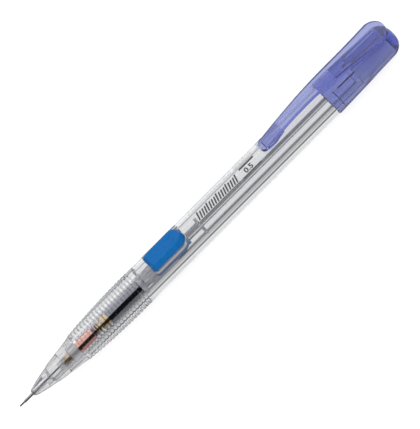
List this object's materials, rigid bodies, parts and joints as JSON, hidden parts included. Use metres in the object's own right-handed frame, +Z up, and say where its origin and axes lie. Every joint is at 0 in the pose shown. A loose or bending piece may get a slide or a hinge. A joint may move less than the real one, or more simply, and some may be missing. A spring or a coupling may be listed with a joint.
{
  "type": "mechanical pencil",
  "caption": "Clear mechanical pencil with a side push button, a ringed grip, a clutch mechanism seen inside, and a violet end cap with its clip over an eraser.",
  "frame": {"origin": "bottom centre of the bounding box, with the pencil lying on a table and its clip up", "axes": "+X along the pencil from its point to its cap, +Z up through the button and the clip, +Y across; the barrel's axis is 5.64 mm above the origin"},
  "size_m": [0.1478, 0.0112, 0.0143],
  "materials": {
    "clear_plastic": "clear polished moulding, faintly blue",
    "clear_bush": "clear moulding with a violet-grey tint",
    "frosted_plastic": "frosted white moulding",
    "pipe_steel": "drawn stainless steel",
    "tube_steel": "bright drawn steel tube",
    "spring_steel": "spring wire",
    "copper_sleeve": "copper-coloured turned metal",
    "brass": "turned brass",
    "retainer_rubber": "soft grey rubber",
    "graphite": "polymer graphite lead",
    "button_plastic": "opaque blue moulding, satin",
    "slider_plastic": "milky grey translucent moulding",
    "cap_plastic": "violet translucent moulding, polished",
    "eraser_rubber": "white eraser"
  },
  "bodies": {
    "barrel": {"barrel": "clear_plastic", "nose_cone": "clear_plastic", "guide_pipe": "pipe_steel", "lead_retainer": "retainer_rubber", "ring_stop": "frosted_plastic", "front_bush": "clear_bush", "clutch_sleeve": "copper_sleeve", "return_spring": "spring_steel"},
    "button": {"side_button": "button_plastic"},
    "mechanism": {"slider": "slider_plastic", "tube_flange": "slider_plastic", "mechanism_tube": "tube_steel", "spring_collar": "brass", "chuck": "brass"},
    "clutch_ring": {"clutch_ring": "brass"},
    "lead": {"writing_lead": "graphite"},
    "cap": {"cap": "cap_plastic"},
    "eraser": {"eraser": "eraser_rubber", "eraser_plug": "clear_plastic", "cleaning_pin": "spring_steel"}
  },
  "joints": [
    {"name": "button_press", "type": "slide", "parent": "barrel", "child": "button", "axis": [0, 0, -1], "range_m": [0, 0.0012], "stiffness_N_per_m": 900, "springref_m": -0.001},
    {"name": "slider_advance", "type": "slide", "parent": "barrel", "child": "mechanism", "axis": [-1, 0, 0], "range_m": [0, 0.0012], "deforming": ["return_spring"]},
    {"name": "ring_advance", "type": "slide", "parent": "barrel", "child": "clutch_ring", "axis": [-1, 0, 0], "range_m": [0, 0.0009]},
    {"name": "lead_feed", "type": "slide", "parent": "barrel", "child": "lead", "axis": [-1, 0, 0], "range_m": [-0.0017, 0.01]},
    {"name": "cap_pull", "type": "slide", "parent": "barrel", "child": "cap", "axis": [1, 0, 0], "range_m": [0, 0.04]},
    {"name": "eraser_pull", "type": "slide", "parent": "barrel", "child": "eraser", "axis": [1, 0, 0], "range_m": [0, 0.014]}
  ],
  "couplings": [
    {"joint": "slider_advance", "follows": "button_press", "ratio": 1},
    {"joint": "ring_advance", "follows": "button_press", "ratio": 0.75},
    {"joint": "eraser_pull", "follows": "cap_pull", "ratio": 0.35}
  ]
}
